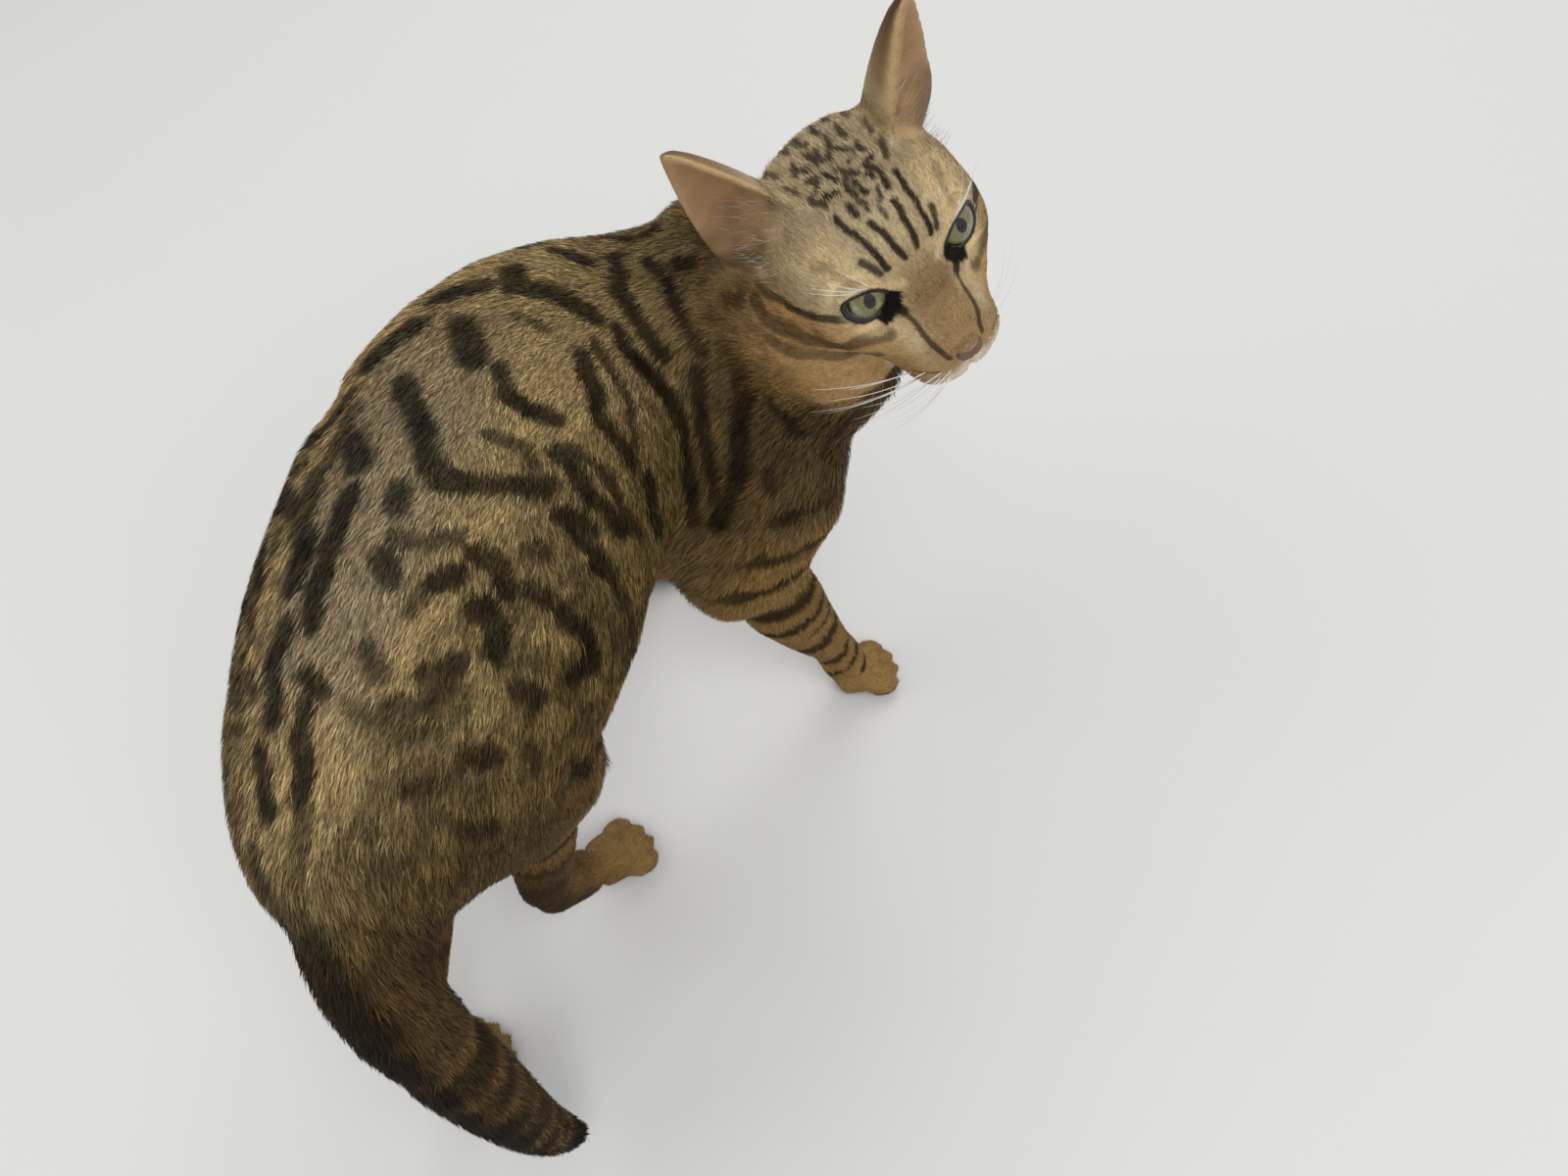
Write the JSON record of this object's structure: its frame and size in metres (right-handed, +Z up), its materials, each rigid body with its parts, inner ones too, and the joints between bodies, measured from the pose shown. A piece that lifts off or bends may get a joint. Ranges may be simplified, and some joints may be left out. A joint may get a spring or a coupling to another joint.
{
  "type": "spotted short-haired cat",
  "caption": "Life-size standing short-haired cat with a spotted and striped coat, large ears, its back bent and its head turned back over one shoulder.",
  "frame": {"origin": "middle of the bounding box on the floor under the cat", "axes": "+Z up, the chest points along -Y, the cat's right side is towards -X"},
  "size_m": [0.251, 0.3686, 0.4082],
  "materials": {
    "coat": "short dense fur, ticked warm grey-brown with blue-black spots and bars",
    "eye": "wet, pale grey-green iris with a dark pupil",
    "nose_leather": "fine pebbled, mauve-brown, slightly moist"
  },
  "bodies": {
    "root": {"head": "coat", "neck": "coat", "trunk_rear": "coat", "trunk_fore": "coat", "tail_base": "coat", "tail_middle": "coat", "tail_tip": "coat", "eye_right": "eye", "eye_left": "eye", "nose": "nose_leather", "ear_right": "coat", "ear_left": "coat", "upper_arm_right": "coat", "forearm_right": "coat", "paw_right": "coat", "upper_arm_left": "coat", "forearm_left": "coat", "paw_left": "coat", "thigh_right": "coat", "shank_right": "coat", "foot_right": "coat", "thigh_left": "coat", "shank_left": "coat", "foot_left": "coat"}
  },
  "joints": []
}
